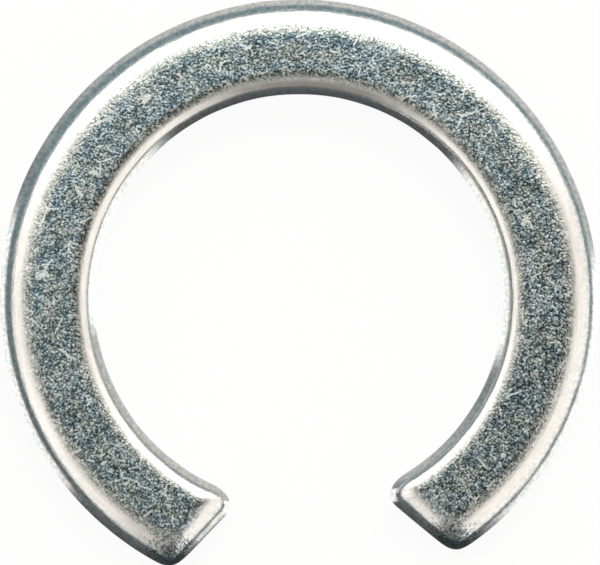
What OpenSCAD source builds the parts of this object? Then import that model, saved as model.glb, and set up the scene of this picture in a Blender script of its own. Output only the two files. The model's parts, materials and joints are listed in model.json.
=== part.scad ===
// External retaining ring for a grooved shaft, without lugs: a ring of flat wire with a
// round outer edge, cut away in a V so that it can be sprung on from the side or the end.
// The ring lies in the XY plane, its axis is Z, z = 0 is its middle, and the gap faces -Y.

/* [Ring] */
// Free inner diameter, before the ring is sprung into its groove
bore_d = 11.7; // [11:0.05:12.5]
// Width of the flat wire, measured across the ring
wire_w = 2.7; // [2.3:0.05:3.2]
// Thickness of the flat wire, from face to face
wire_t = 1.7; // [1.4:0.05:1.9]

/* [Rounded edges] */
// Radius of the edges along the bore and along the end faces, and of the tips
edge_r = 0.5; // [0.3:0.02:0.6]
// Height by which the edge rounds would stand above the flats that trim them
edge_rise = 0.004; // [0.002:0.001:0.02]

/* [Gap] */
// Width of the gap at the bore, between the end faces before the tips are rounded
gap_w = 3.75; // [3:0.05:4.5]
// Angle between the two end faces, which open outwards
gap_angle = 94; // [80:1:105]

/* [Hidden] */
$fn = 96;

// Radii and half sizes of the plain ring
bore_r = bore_d / 2;
rim_r = bore_r + wire_w;
half_t = wire_t / 2;

// The outer edge is one full round: its radius reaches from the middle to past either face
rim_round_r = half_t + edge_rise;

// Each end face leans this far from the gap's middle line, and misses the axis by end_offset
end_lean = gap_angle / 2;
end_offset = bore_r * sin(end_lean - asin(gap_w / bore_d));

// Radii of the circles that the centres of the inner and the outer rounds run along
tip_path_r = bore_r + edge_r;
heel_path_r = rim_r - rim_round_r;

// Height of the inner rounds' centres above and below the middle
tip_z = rim_round_r - edge_r;

// Where a round of radius r, centred on a circle of radius path_r, stands edge_rise proud of
// an end face: its angle from the gap's middle line
function end_angle(path_r, r) = end_lean - asin((end_offset + edge_rise - r) / path_r);
function on_path(path_r, angle) = path_r * [sin(angle), -cos(angle)];

// Each leg ends between its tip, at the bore, and its heel, at the rim
tip = on_path(tip_path_r, end_angle(tip_path_r, edge_r));
heel = on_path(heel_path_r, end_angle(heel_path_r, rim_round_r));
tip_to_heel = norm(heel - tip);
tip_to_heel_angle = atan2(heel.y - tip.y, heel.x - tip.x);

// The tapered bead that rounds an end face's edge runs from a ball at the tip to one at the heel
bead_l = norm([tip_to_heel, tip_z]);
bead_taper = asin((rim_round_r - edge_r) / bead_l);
bead_slope = atan2(tip_z, tip_to_heel);

// Cutting bodies reach this far, well past the rim
reach = 3 * rim_r;

// Mirror image of a point on the other side of the gap
function across(p) = [-p.x, p.y];

// Section of the flat wire in the plane through the axis: x is the radius
module wire_section() {
    intersection() {
        translate([bore_r, -half_t])
            square([wire_w, wire_t]);
        union() {
            translate([heel_path_r, 0])
                circle(rim_round_r);
            translate([tip_path_r, -rim_round_r])
                square([heel_path_r - tip_path_r, 2 * rim_round_r]);
            translate([bore_r, -tip_z])
                square([edge_r, 2 * tip_z]);
            for (side = [-1, 1])
                translate([tip_path_r, side * tip_z])
                    circle(edge_r);
        }
    }
}

// The ring as far as its rounded ends: both legs stop at the line from tip to heel
module hoop() {
    difference() {
        rotate_extrude()
            wire_section();
        linear_extrude(2 * wire_t, center = true)
            polygon([
                [0, 0], tip, heel, reach * heel,
                reach * across(heel), across(heel), across(tip)
            ]);
    }
}

// Half outline of a bead: a small ball at the origin, a large one up the y axis, and their tangent
module bead_outline() {
    intersection() {
        translate([0, -edge_r])
            square([rim_round_r, edge_r + bead_l + rim_round_r]);
        union() {
            circle(edge_r);
            translate([0, bead_l])
                circle(rim_round_r);
            polygon([
                [0, 0],
                edge_r * [cos(bead_taper), -sin(bead_taper)],
                [0, bead_l] + rim_round_r * [cos(bead_taper), -sin(bead_taper)],
                [0, bead_l]
            ]);
        }
    }
}

// Bead along the upper (side 1) or lower (side -1) edge of the right end face
module edge_bead(side) {
    translate([tip.x, tip.y, side * tip_z])
        rotate([0, 0, tip_to_heel_angle])
            rotate([0, 90 + side * bead_slope, 0])
                rotate_extrude()
                    bead_outline();
}

// Rounded tip between the two beads
module tip_post() {
    translate([tip.x, tip.y, -tip_z])
        cylinder(r = edge_r, h = 2 * tip_z);
}

// Web between the two beads, from the line of their axes to beyond the end face
module end_web() {
    translate([tip.x, tip.y, 0])
        rotate([90, 0, tip_to_heel_angle])
            linear_extrude(2 * rim_round_r)
                polygon([[0, tip_z], [0, -tip_z], [tip_to_heel, 0]]);
}

// All that lies between the two flat faces, less the V between the end faces
module flats() {
    apex = [0, -end_offset / sin(end_lean)];
    slant = reach * [sin(end_lean), -cos(end_lean)];
    difference() {
        cube([2 * reach, 2 * reach, wire_t], center = true);
        linear_extrude(2 * wire_t, center = true)
            polygon([apex, apex + slant, apex + across(slant)]);
    }
}

// Rounded end of the right leg, trimmed to the flat faces and the end face
module leg_end() {
    intersection() {
        union() {
            edge_bead(1);
            edge_bead(-1);
            tip_post();
            end_web();
        }
        flats();
    }
}

module ring() {
    color("silver") {
        hoop();
        leg_end();
        mirror([1, 0, 0])
            leg_end();
    }
}

ring();
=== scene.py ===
"""External retaining ring of flat wire: bright zinc plate on steel, finely pitted by tumbling.

The ring is one piece. Its solid is replaced by a denser mesh of the same form, whose edges
are rounded as rolling and tumbling leave them, and which carries the finish.
"""

import json
import math

import bmesh
import bpy
import numpy as np
from mathutils import Matrix, Vector, noise


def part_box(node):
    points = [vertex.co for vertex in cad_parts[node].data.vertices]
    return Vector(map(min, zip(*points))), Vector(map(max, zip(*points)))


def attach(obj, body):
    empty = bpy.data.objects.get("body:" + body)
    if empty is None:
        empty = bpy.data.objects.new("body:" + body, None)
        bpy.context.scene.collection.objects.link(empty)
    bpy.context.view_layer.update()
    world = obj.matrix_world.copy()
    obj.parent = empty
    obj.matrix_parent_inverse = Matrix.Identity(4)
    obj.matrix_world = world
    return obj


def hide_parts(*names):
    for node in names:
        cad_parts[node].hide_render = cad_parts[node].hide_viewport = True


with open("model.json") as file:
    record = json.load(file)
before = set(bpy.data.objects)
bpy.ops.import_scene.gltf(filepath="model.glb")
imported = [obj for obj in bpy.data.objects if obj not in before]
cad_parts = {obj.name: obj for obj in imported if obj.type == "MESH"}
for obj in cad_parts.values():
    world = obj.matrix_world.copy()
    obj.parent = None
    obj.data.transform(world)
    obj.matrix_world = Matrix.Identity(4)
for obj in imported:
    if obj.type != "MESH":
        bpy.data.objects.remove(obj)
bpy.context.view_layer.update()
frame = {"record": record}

MM = 0.001  # metres in a millimetre, the unit of the sizes below

# ---- Sizes of the ring: from the frame where it has them, angles in radians ----------------

node_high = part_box("ring")[1] / MM
seat = next(m for m in frame["record"]["mounts"] if m["name"] == "groove_seat")
BORE_R = seat["dims"]["r_mm"]
RIM_R = node_high.x
HALF_T = node_high.z
MIDDLE_R = (BORE_R + RIM_R) / 2

GAP_W = 3.75  # gap at the bore, before the tips are rounded
HALF_GAP = math.asin(GAP_W / 2 / BORE_R)
END_LEAN = math.radians(47)  # lean of an end face from the gap's middle line
END_OFFSET = BORE_R * math.sin(END_LEAN - HALF_GAP)  # how far the end face's plane misses the axis

RIM_ROUND = 1.1  # how far in from the rim the wire's faces start to round off
BORE_ROUND = 0.72  # ... and from the bore
END_ROUND = 0.92  # ... and from an end face
RIM_POWER = 2.0  # shape of the rounded rim: 2 is an oval, more is squarer
BORE_POWER = 2.75
TIP_POWER = 1.9
HEEL_POWER = 2.2
FACE_CORNER = 1.75  # how square the corners are in plan, at the faces
TIP_CORNER = 2.05  # ... and at a tip in mid-height
HEEL_CORNER = 5.5
CORNER_BLEND = (0.35, 0.9)  # shares of the rounding between which the one turns into the other

FLAT_MIDDLE = (BORE_R + BORE_ROUND + RIM_R - RIM_ROUND) / 2
END_ANGLE = END_LEAN - math.asin((END_OFFSET - END_ROUND) / MIDDLE_R)  # start of the rounded end
HEEL_ANGLE = END_LEAN - math.asin(END_OFFSET / RIM_R)
HEEL = (RIM_R * math.sin(HEEL_ANGLE), -RIM_R * math.cos(HEEL_ANGLE))  # corner of rim and end face

KEYSTONE = 0.02  # how much each face of the wire falls from the bore to the rim
LONG_WAVE = 0.006  # depth of the surface's waves, and how many of them go to a mm
LONG_RATE = 0.9
SHORT_WAVE = 0.0028
SHORT_RATE = 2.6
CELL = 0.0585  # side of the mesh's cells
CAP_TURN = math.radians(35)  # arc over which the mesh's loops turn to lie along the end face

# ---- Sizes and colours of the finish -------------------------------------------------------

ASKEW = (0.6, 0.5, 0.4)  # turns the grain's own axes away from the ring's
FLAT_FROM = (0.92, 1.035)  # shares of the half thickness between which the grain sets in
FRAYED = 0.09  # how far the hairs fray that border, as such a share
FURTHER_AT_BORE = 0.05  # ... and how much further in it lies at the bore

COARSE, MEDIUM, FINE = 0.7, 0.15, 0.06  # sizes of the noises that make up the grain
COARSE_SHARE, MEDIUM_SHARE, FINE_SHARE = 0.21, 0.27, 0.52
GRIT = 0.062  # size of the smallest flecks
GRIT_SHARE = 0.40
FLECK_CONTRAST = 3.6  # how sharply the grain splits into dark and light flecks
FLECK_LEVEL = -1.56  # more makes more of them light
NICKS_APART = 0.8
HEEL_SHADE_PATCH = (1.5, 2.2)  # distances from the heel between which its patch of painted shade ends
HEEL_RAGGED = 2.0  # how much nearer the heel that end comes for a grain of 1

EDGE_BUMP = 0.005
FLAT_BUMP = 0.016
EDGE_ROUGHNESS = 0.2
FLECK_ROUGHNESS = (0.13, 0.38)  # dark flecks are smoother than light ones

DARK_FLECKS = ((0.18, 0.25, 0.26, 1), (0.14, 0.27, 0.35, 1))  # warm ones and cool ones
LIGHT_FLECKS = ((0.97, 0.98, 0.89, 1), (0.90, 0.97, 0.97, 1))
HEEL_SHADE_FLECKS = ((0.10, 0.14, 0.16, 1), (0.42, 0.46, 0.47, 1))  # dark and light flecks of the painted shade at the heels
EDGE_LINES = ((0.80, 0.78, 0.75, 1), (0.91, 0.87, 0.82, 1))
EDGE_BLOTCHES = ((0.58, 0.68, 0.71, 1), (1.0, 0.98, 0.95, 1))
FLOOR_PAINT = (0.85, 0.85, 0.84, 1)
WHITE = (1, 1, 1, 1)

# ---- Light, floor and camera ---------------------------------------------------------------

TENT_TURN = math.radians(7.7)  # turn of the tent about the ring's axis
TENT_CREAM = (1.0, 0.97, 0.93, 1)
TABLE_CREAM = (1.0, 0.98, 0.94, 1)
TABLE_BLUE = (0.72, 0.92, 1.0, 1)
OVERHEAD_BLUE = (0.70, 0.95, 1.0, 1)
SEAM_BLUE = (0.60, 0.90, 1.0, 1)

OVERHEAD_TO_SIDE = (6, 30)  # degrees from straight up between which the blue turns to cream
ROOF_FROM = (4, 22)  # ... and between which the light of the roof sets in
WALL_FROM = (15, 55)
TABLE_FROM = (99, 110)
SEAM_AT = 79  # degrees from straight up at which the wall ends in the seam
SEAM_LOWER_RIGHT = 8.5  # how much further down that is at the right
SEAM_LOWER_BACK = -6.5
SEAM_SOFT = 3

KEY_SIZE = 60
KEY_AWAY = 150
KEY_TURN = math.radians(-20)  # about the ring's axis
KEY_TILT = math.radians(-48)  # from straight up to the back
KEY_POWER = 0.06  # in watts

FLOOR_R = 45
FLOOR_GAP = 0.01  # keeps the waves of the ring's underside clear of the floor

IMAGE = (600, 565)
FRAME_WIDTH = 17.14  # what the image's width takes in, in the ring's mid-plane
AXIS_AT = (298.9, 298.8)  # the ring's axis in the image
CAMERA_TURN = math.radians(-3.2)  # about the ring's axis
DISTANCE = 120
SENSOR = 36.0


# ---- Section of the wire -------------------------------------------------------------------


def smooth(x, low, high):
    """0 below low, 1 above high, and a smooth step between."""
    t = np.clip((x - low) / (high - low), 0, 1)
    return t * t * (3 - 2 * t)


def rounded(width, power, start, stop, count):
    """Points of a rounding HALF_T high, width wide, from angle start up to but not at stop."""
    angle = np.linspace(start, stop, count, endpoint=False)
    part = np.stack([np.cos(angle), np.sin(angle)], 1)
    return np.sign(part) * np.abs(part) ** (2 / power) * [width, HALF_T]


def section_outline():
    """Outline of the section as points (radius, height), evenly spaced, from the bore's middle."""
    fine = 2000
    quarter = math.pi / 2
    inner = [BORE_R + BORE_ROUND, 0]
    outer = [RIM_R - RIM_ROUND, 0]
    below = rounded(BORE_ROUND, BORE_POWER, 2 * quarter, 3 * quarter, fine) + inner
    rim = rounded(RIM_ROUND, RIM_POWER, -quarter, quarter, 2 * fine) + outer
    above = rounded(BORE_ROUND, BORE_POWER, quarter, 2 * quarter, fine) + inner
    closed = np.concatenate([below, rim, above, below[:1]])
    along = np.concatenate([[0], np.cumsum(np.hypot(*np.diff(closed, axis=0).T))])
    count = 2 * round(along[-1] / CELL / 2)
    at = np.arange(count) * along[-1] / count
    return np.stack([np.interp(at, along, closed[:, k]) for k in (0, 1)], 1)


# ---- The ring's mesh -----------------------------------------------------------------------


def cap_loop(section, turn):
    """A loop of the rounded end, turned by turn from the section towards the end face: section
    as radius and height, spread out from a core line until it lies on the surface."""
    radius, height = section.T
    core = np.clip(radius, BORE_R + BORE_ROUND, RIM_R - RIM_ROUND)
    to_bore = radius < core
    width = np.where(to_bore, -BORE_ROUND, RIM_ROUND)
    side = (radius - core) / width * math.cos(turn)
    height = height / HALF_T * math.cos(turn)
    end = math.sin(turn)
    across = (core - core.min()) / (core.max() - core.min())
    high_corner = TIP_CORNER + (HEEL_CORNER - TIP_CORNER) * across
    side_power = np.where(to_bore, BORE_POWER, RIM_POWER)
    end_power = TIP_POWER + (HEEL_POWER - TIP_POWER) * across
    to_end = smooth(np.arctan2(end, side), 0, math.pi / 2)
    power = side_power + (end_power - side_power) * to_end
    spread = np.ones(len(radius))
    both = np.maximum(side, end)
    rounds_to_settle = 20
    for _ in range(rounds_to_settle):
        blend = smooth(both * spread, *CORNER_BLEND)
        corner = FACE_CORNER + (high_corner - FACE_CORNER) * blend
        both = (side**corner + end**corner) ** (1 / corner)
        spread = (np.abs(height) ** power + both**power) ** (-1 / power)
    radius = core + width * side * spread
    return radius, height * spread * HALF_T, END_ROUND * (1 - end * spread)


def on_leg(radius, height, beyond, middle):
    """Points of the right leg. Far from the end a loop lies on a radius, and near it along the
    end face, beyond mm into the metal."""
    along_end = END_LEAN + np.arcsin(np.clip((beyond - END_OFFSET) / radius, -1, 1))
    far = smooth(middle, END_ANGLE, END_ANGLE + CAP_TURN)
    angle = far * middle + (1 - far) * along_end
    return np.stack([radius * np.sin(angle), -radius * np.cos(angle), height], 1)


def leg_loops():
    """Loops of points round the right half of the ring, from its end face to the ring's back."""
    section = section_outline()
    loops = []
    cap_girth = math.pi / 4 * (END_ROUND + HALF_T)
    cap_steps = round(cap_girth / CELL)
    for k in range(cap_steps):
        radius, height, beyond = cap_loop(section, math.pi / 2 * (1 - k / cap_steps))
        loops.append(on_leg(radius, height, beyond, END_ANGLE))
    arc_steps = round((math.pi - END_ANGLE) * MIDDLE_R / CELL)
    for k in range(arc_steps + 1):
        middle = END_ANGLE + (math.pi - END_ANGLE) * k / arc_steps
        beyond = END_OFFSET + MIDDLE_R * math.sin(middle - END_LEAN)
        loops.append(on_leg(section[:, 0], section[:, 1], beyond, middle))
    return np.array(loops)


def read(items, name):
    """An attribute of mesh items as an array of vectors."""
    values = np.empty(len(items) * 3)
    items.foreach_get(name, values)
    return values.reshape(-1, 3)


def dent(mesh):
    """Shallow waves and falling faces left by rolling and tumbling, as real moves of the surface."""
    place = read(mesh.vertices, "co")
    out = read(mesh.vertices, "normal")
    waves = [
        LONG_WAVE * noise.noise(point * LONG_RATE) + SHORT_WAVE * noise.noise(point * SHORT_RATE)
        for point in map(Vector, place.tolist())
    ]
    across = (np.hypot(place[:, 0], place[:, 1]) - BORE_R) / (RIM_R - BORE_R)
    move = np.array(waves) - KEYSTONE * across**2 * np.abs(out[:, 2])
    mesh.vertices.foreach_set("co", (place + out * move[:, None]).ravel())
    mesh.update()


def ring_mesh():
    """The whole ring, closed: the right half's loops, and their mirror image for the left."""
    right = leg_loops()
    left = right[-2::-1] * [-1, 1, 1]
    loops = np.concatenate([right, left])
    rows, girth = loops.shape[:2]
    index = np.arange(rows * girth).reshape(rows, girth)
    after = np.roll(index, -1, 1)
    quads = np.stack([index[:-1], index[1:], after[1:], after[:-1]], 2).reshape(-1, 4)
    mesh = bpy.data.meshes.new("retaining_ring")
    mesh.from_pydata(loops.reshape(-1, 3).tolist(), [], quads.tolist())
    closed = bmesh.new()
    closed.from_mesh(mesh)
    same_point = CELL / 50
    bmesh.ops.remove_doubles(closed, verts=closed.verts, dist=same_point)
    bmesh.ops.recalc_face_normals(closed, faces=closed.faces)
    closed.to_mesh(mesh)
    closed.free()
    dent(mesh)
    mesh.transform(Matrix.Scale(MM, 4))
    mesh.shade_smooth()
    return mesh


# ---- Nodes ---------------------------------------------------------------------------------


class Nodes:
    """Short ways to add nodes to one node tree. An input is a plain value, a socket, or a node,
    which stands for its first output."""

    def __init__(self, tree):
        self.tree = tree
        tree.nodes.clear()

    def add(self, kind, inputs=None, **settings):
        made = self.tree.nodes.new(kind)
        for name, value in settings.items():
            setattr(made, name, value)
        for name, value in (inputs or {}).items():
            self.feed(made.inputs[name], value)
        return made

    def feed(self, socket, value):
        if isinstance(value, bpy.types.Node):
            value = value.outputs[0]
        if isinstance(value, bpy.types.NodeSocket):
            self.tree.links.new(value, socket)
        else:
            socket.default_value = value

    def math(self, operation, *values, clamp=False):
        inputs = dict(enumerate(values))
        return self.add("ShaderNodeMath", inputs, operation=operation, use_clamp=clamp).outputs[0]

    def scaled(self, value, factor, plus=0.0, clamp=False):
        """value * factor + plus."""
        return self.math("MULTIPLY_ADD", value, factor, plus, clamp=clamp)

    def step(self, value, low, high, to_low=0.0, to_high=1.0):
        """to_low up to low, to_high from high on, and a smooth step between."""
        made = self.add(
            "ShaderNodeMapRange",
            {"Value": value, "From Min": low, "From Max": high, "To Min": to_low, "To Max": to_high},
            interpolation_type="SMOOTHSTEP",
        )
        return made.outputs["Result"]

    def blend(self, factor, a, b):
        """The number a where factor is 0, and b where it is 1."""
        return self.add("ShaderNodeMix", {0: factor, 2: a, 3: b}, data_type="FLOAT").outputs[0]

    def mix(self, factor, a, b):
        """The colour a where factor is 0, and b where it is 1."""
        return self.add("ShaderNodeMix", {0: factor, 6: a, 7: b}, data_type="RGBA").outputs[2]

    def noise(self, where, size, detail, roughness=0.5, distortion=0.0):
        """Noise whose blobs are about size mm across."""
        return self.add("ShaderNodeTexNoise", {
            "Vector": where, "Scale": 1 / (size * MM), "Detail": detail,
            "Roughness": roughness, "Distortion": distortion,
        }).outputs["Fac"]

    def emit(self, colour, strength):
        return self.add("ShaderNodeEmission", {"Color": colour, "Strength": strength})

    def either(self, factor, a, b):
        """The shader a where factor is 0, and b where it is 1."""
        return self.add("ShaderNodeMixShader", {0: factor, 1: a, 2: b})

    def shown(self, to_camera, in_metal):
        """How much of its white a backdrop shows: to the camera, and in metal and glass."""
        rays = self.add("ShaderNodeLightPath").outputs
        reflected = self.math("ADD", rays["Is Glossy Ray"], rays["Is Transmission Ray"], clamp=True)
        seen = self.math("MULTIPLY", rays["Is Camera Ray"], to_camera)
        return self.scaled(reflected, in_metal, seen)


# ---- Zinc plate ----------------------------------------------------------------------------


class RingNodes(Nodes):
    """Nodes of a material on the ring, with its coordinates in metres. around runs along the
    wire's middle, and height is a share of the half thickness."""

    def __init__(self, tree):
        super().__init__(tree)
        self.place = self.add("ShaderNodeTexCoord").outputs["Object"]
        self.x, self.y, self.z = self.add("ShaderNodeSeparateXYZ", {0: self.place}).outputs
        self.height = self.math("DIVIDE", self.math("ABSOLUTE", self.z), HALF_T * MM)
        squares = [self.math("POWER", side, 2) for side in (self.x, self.y)]
        self.radius = self.math("SQRT", self.math("ADD", *squares))
        self.around = self.scaled(self.math("ARCTAN2", self.x, self.y), MIDDLE_R * MM)
        self.askew = self.add("ShaderNodeMapping", {"Vector": self.place, "Rotation": ASKEW})


def flat_share(n):
    """1 on the flat faces and 0 on the edges. Fine hairs that point outward fray the border."""
    drawn_out = 0.15
    outward = n.add("ShaderNodeCombineXYZ", {0: n.scaled(n.radius, drawn_out), 1: n.around})
    hair = n.noise(outward, size=0.07, detail=1, roughness=0.6)
    at_bore = n.step(n.radius, BORE_R * MM, FLAT_MIDDLE * MM, -FURTHER_AT_BORE, 0.0)
    return n.step(n.scaled(hair, FRAYED, n.math("ADD", n.height, at_bore)), *FLAT_FROM)


def grain_level(n):
    """Height of the tumbled grain, about 0.5 on average."""
    coarse = n.noise(n.askew, COARSE, detail=2)
    medium = n.noise(n.askew, MEDIUM, detail=1)
    fine = n.noise(n.askew, FINE, detail=0, distortion=0.4)
    rough = n.scaled(medium, MEDIUM_SHARE, n.scaled(coarse, COARSE_SHARE))
    return n.scaled(fine, FINE_SHARE, rough)


def fleck_share(n, grain):
    """0 in dark flecks of the grain, and 1 in light ones and in a few thin nicks."""
    grit = n.add("ShaderNodeTexVoronoi", {"Vector": n.askew, "Scale": 1 / (GRIT * MM)})
    grit = n.add("ShaderNodeSeparateColor", {0: grit.outputs["Color"]})
    flecks = n.scaled(grain, FLECK_CONTRAST, FLECK_LEVEL)
    flecks = n.scaled(grit, GRIT_SHARE, flecks, clamp=True)
    web = n.add(
        "ShaderNodeTexVoronoi",
        {"Vector": n.askew, "Scale": 1 / (NICKS_APART * MM)},
        feature="DISTANCE_TO_EDGE",
    )
    nicks = n.step(web.outputs["Distance"], 0.01, 0.045, 1, 0)
    few = n.step(n.noise(n.askew, size=0.5, detail=0), 0.60, 0.66)
    return n.math("ADD", flecks, n.math("MULTIPLY", nicks, few), clamp=True)


def coolness(n):
    """0 where the flecks are warm and 1 where they are cool: in patches, more of them to either
    side of the flat's middle, and few at its borders."""
    small = n.noise(n.askew, size=0.13, detail=1, distortion=1.0)
    large = n.noise(n.askew, size=0.6, detail=2, roughness=0.7)
    patches = n.scaled(small, 0.4, n.scaled(large, 0.6))
    off_middle = n.math("ABSOLUTE", n.math("SUBTRACT", n.radius, FLAT_MIDDLE * MM))
    to_side = n.step(off_middle, 0.15 * MM, 0.4 * MM, 0, 0.1)
    at_border = n.step(off_middle, 0.4 * MM, 0.65 * MM, 0, -0.25)
    patches = n.math("ADD", n.math("ADD", patches, to_side), at_border)
    return n.step(patches, 0.44, 0.62)


def edge_colour(n, streak):
    """Bright metal with fine lines along the wire, and with blotches, mostly on its walls."""
    lines = n.mix(n.step(streak, 0.35, 0.65), *EDGE_LINES)
    upright = n.add("ShaderNodeMapping", {"Vector": n.place, "Scale": (1, 1, 0.4)})
    blotch = n.noise(upright, size=0.12, detail=1, roughness=0.6)
    blotches = n.mix(n.step(blotch, 0.38, 0.62), *EDGE_BLOTCHES)
    blotched = n.step(n.height, 0.6, 0.85, 0.7, 0.1)
    return n.mix(blotched, lines, blotches)


def painted_heel_shade_share(n, grain):
    """1 in the patch of painted shade at each heel, which ends in flecks."""
    folded = n.add("ShaderNodeCombineXYZ", {0: n.math("ABSOLUTE", n.x), 1: n.y})
    heel = (HEEL[0] * MM, HEEL[1] * MM, 0)
    away = n.add("ShaderNodeVectorMath", {0: folded, 1: heel}, operation="DISTANCE")
    away = n.scaled(grain, HEEL_RAGGED * MM, away.outputs["Value"])
    near, far = HEEL_SHADE_PATCH
    return n.step(away, near * MM, far * MM, 1, 0)


def zinc_plate():
    """Zinc plate: warm and cool flecks on the flats, and bright, finely lined edges, with painted
    shade as dark flecks at each heel.
    """
    material = bpy.data.materials.new("zinc_plate")
    material.use_nodes = True
    n = RingNodes(material.node_tree)
    flat = flat_share(n)
    grain = grain_level(n)
    fleck = fleck_share(n, grain)
    cool = coolness(n)
    drawn_out = n.scaled(n.around, 0.12)
    along = n.add("ShaderNodeCombineXYZ", {0: n.radius, 1: drawn_out, 2: n.z})
    streak = n.noise(along, size=0.08, detail=2, roughness=0.6)
    flecks = n.mix(fleck, n.mix(cool, *DARK_FLECKS), n.mix(cool, *LIGHT_FLECKS))
    colour = n.mix(flat, edge_colour(n, streak), flecks)
    # Painted shade: darker flecks in the base colour at each heel, standing in for the dim front of
    # the tent that the heels mirror
    colour = n.mix(painted_heel_shade_share(n, grain), colour, n.mix(fleck, *HEEL_SHADE_FLECKS))
    edge_relief = n.scaled(streak, 0.7, n.scaled(grain, 0.3))
    bump = n.add("ShaderNodeBump", {
        "Height": n.blend(flat, edge_relief, grain),
        "Strength": 1.0,
        "Distance": n.blend(flat, EDGE_BUMP * MM, FLAT_BUMP * MM),
    })
    surface = n.add("ShaderNodeBsdfPrincipled", {
        "Base Color": colour,
        "Metallic": 1.0,
        "Roughness": n.blend(flat, EDGE_ROUGHNESS, n.blend(fleck, *FLECK_ROUGHNESS)),
        "Normal": bump,
    })
    n.add("ShaderNodeOutputMaterial", {"Surface": surface})
    return material


# ---- Light ---------------------------------------------------------------------------------


class TentNodes(Nodes):
    """Nodes of the world, with the direction in the tent's axes: x and y; polar, its degrees from
    straight up; and right and back, the unit vector along its level part."""

    def __init__(self, tree):
        super().__init__(tree)
        way = self.add("ShaderNodeTexCoord").outputs["Generated"]
        way = self.add("ShaderNodeMapping", {"Vector": way, "Rotation": (0, 0, TENT_TURN)})
        self.x, self.y, up = self.add("ShaderNodeSeparateXYZ", {0: way}).outputs
        self.polar = self.scaled(self.math("ARCCOSINE", up), math.degrees(1))
        level = self.add("ShaderNodeCombineXYZ", {0: self.x, 1: self.y})
        level = self.add("ShaderNodeVectorMath", {0: level}, operation="NORMALIZE")
        self.right, self.back, _ = self.add("ShaderNodeSeparateXYZ", {0: level}).outputs


def light_above(n):
    """Cream light from the roof, at the back and straight in front, and from the wall, all round
    but straight in front. The back left half is faintly lit as well, with blue overhead."""
    back_roof = n.step(n.scaled(n.right, -0.15, n.back), 0, 0.8, 0.05, 0.9)
    front_roof = n.step(n.back, -1, -0.75, 0.55, 0)
    roof = n.math("MULTIPLY", n.math("ADD", back_roof, front_roof), n.step(n.polar, *ROOF_FROM))
    all_round = n.step(n.back, -1, -0.75, -0.35, 1.1)
    less_at_back = n.step(n.back, -0.1, 0.7, 0, -0.35)
    less_at_left = n.step(n.right, -1, -0.8, -0.3, 0)
    wall = n.math("ADD", n.math("ADD", all_round, less_at_back), less_at_left)
    tent = n.emit(TENT_CREAM, n.scaled(wall, n.step(n.polar, *WALL_FROM), roof))
    back_left = n.step(n.scaled(n.x, -0.7, n.y), -0.08, 0.08, 0.0, 0.28)
    tint = n.mix(n.step(n.polar, *OVERHEAD_TO_SIDE), OVERHEAD_BLUE, TENT_CREAM)
    return n.add("ShaderNodeAddShader", {0: tent, 1: n.emit(tint, back_left)})


def light_below(n):
    """Light thrown back by the table: strong at both sides, and elsewhere weak and bluish in
    front, turning to cream at the back."""
    to_side = n.scaled(n.math("ABSOLUTE", n.right), 0.96, n.scaled(n.back, -0.276))
    sides = n.emit(TABLE_CREAM, n.step(to_side, 0.86, 0.91, 0, 1.1))
    to_back = n.step(n.scaled(n.right, 0.3, n.back), -0.5, 1)
    glow = n.emit(n.mix(to_back, TABLE_BLUE, TABLE_CREAM), n.blend(to_back, 0.04, 0.6))
    return n.add("ShaderNodeAddShader", {0: sides, 1: glow})


def light_tent():
    """A tent round the ring, as the metal mirrors it: lit above, with a dim seam where it meets
    the table. The camera sees plain white instead."""
    world = bpy.data.worlds.new("light_tent")
    bpy.context.scene.world = world
    world.use_nodes = True
    n = TentNodes(world.node_tree)
    seam = n.emit(SEAM_BLUE, n.step(n.back, -0.8, 0.6, 0.08, 0.26))
    seam_at = n.scaled(n.right, SEAM_LOWER_RIGHT, n.scaled(n.back, SEAM_LOWER_BACK, SEAM_AT))
    past_wall = n.step(n.math("SUBTRACT", n.polar, seam_at), -SEAM_SOFT, SEAM_SOFT)
    tent = n.either(past_wall, light_above(n), seam)
    tent = n.either(n.step(n.polar, *TABLE_FROM), tent, light_below(n))
    white = n.emit(WHITE, 1.0)
    n.add("ShaderNodeOutputWorld", {"Surface": n.either(n.shown(1.0, 0.03), tent, white)})


def add_object(name, data):
    made = bpy.data.objects.new(name, data)
    bpy.context.collection.objects.link(made)
    return made


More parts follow.
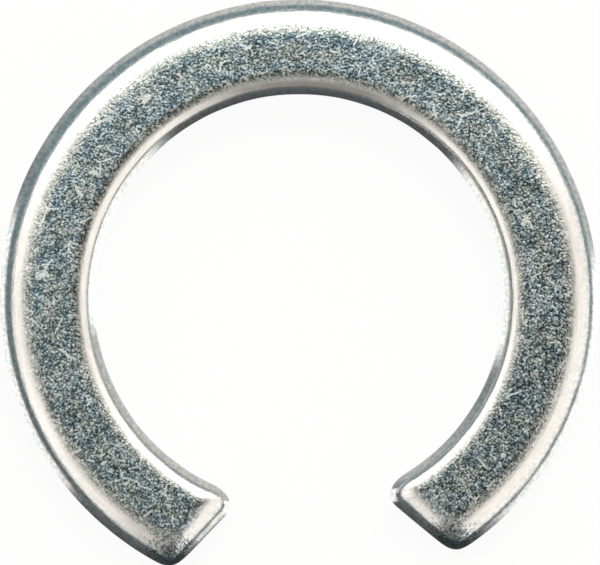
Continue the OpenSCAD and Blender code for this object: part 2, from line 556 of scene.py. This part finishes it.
def add_key():
    """A weak, soft lamp up behind the ring, a little to the right, for the shadow on the floor."""
    data = bpy.data.lights.new("key", "AREA")
    data.shape = "DISK"
    data.size = KEY_SIZE * MM
    data.energy = KEY_POWER
    key = add_object("key", data)
    turn = Matrix.Rotation(KEY_TURN, 4, "Z") @ Matrix.Rotation(KEY_TILT, 4, "X")
    key.matrix_world = turn @ Matrix.Translation((0, 0, KEY_AWAY * MM))


# ---- Floor and camera ----------------------------------------------------------------------


def white_floor():
    """Floor paint that shows shadows, whitened for the camera and almost clear to the metal."""
    material = bpy.data.materials.new("white_floor")
    material.use_nodes = True
    n = Nodes(material.node_tree)
    paint = n.add("ShaderNodeBsdfDiffuse", {"Color": FLOOR_PAINT})
    whitened = n.either(n.shown(0.93, 0.1), paint, n.emit(WHITE, 1.0))
    clear = n.add("ShaderNodeBsdfTransparent", {"Color": WHITE})
    n.add("ShaderNodeOutputMaterial", {"Surface": n.either(n.shown(0, 0.95), whitened, clear)})
    return material


def add_floor():
    disc = bmesh.new()
    bmesh.ops.create_circle(disc, cap_ends=True, segments=128, radius=FLOOR_R * MM)
    data = bpy.data.meshes.new("floor")
    disc.to_mesh(data)
    disc.free()
    floor = add_object("floor", data)
    floor.location.z = -(HALF_T + FLOOR_GAP) * MM
    data.materials.append(white_floor())


def add_camera():
    """The camera looks straight down, from where it sees the ring's axis at AXIS_AT."""
    data = bpy.data.cameras.new("camera")
    data.sensor_width = SENSOR
    data.lens = SENSOR * DISTANCE / FRAME_WIDTH
    camera = add_object("camera", data)
    pixel = FRAME_WIDTH / IMAGE[0]
    right = (IMAGE[0] / 2 - AXIS_AT[0]) * pixel
    up = (AXIS_AT[1] - IMAGE[1] / 2) * pixel
    turn = Matrix.Rotation(CAMERA_TURN, 4, "Z")
    camera.matrix_world = turn @ Matrix.Translation(Vector((right, up, DISTANCE)) * MM)
    bpy.context.scene.camera = camera


# ---- Scene ---------------------------------------------------------------------------------

ring = add_object("retaining_ring", ring_mesh())
ring.data.materials.append(zinc_plate())
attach(ring, "root")
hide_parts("ring")

add_floor()
light_tent()
add_key()
add_camera()
bpy.context.scene.view_settings.view_transform = "Standard"
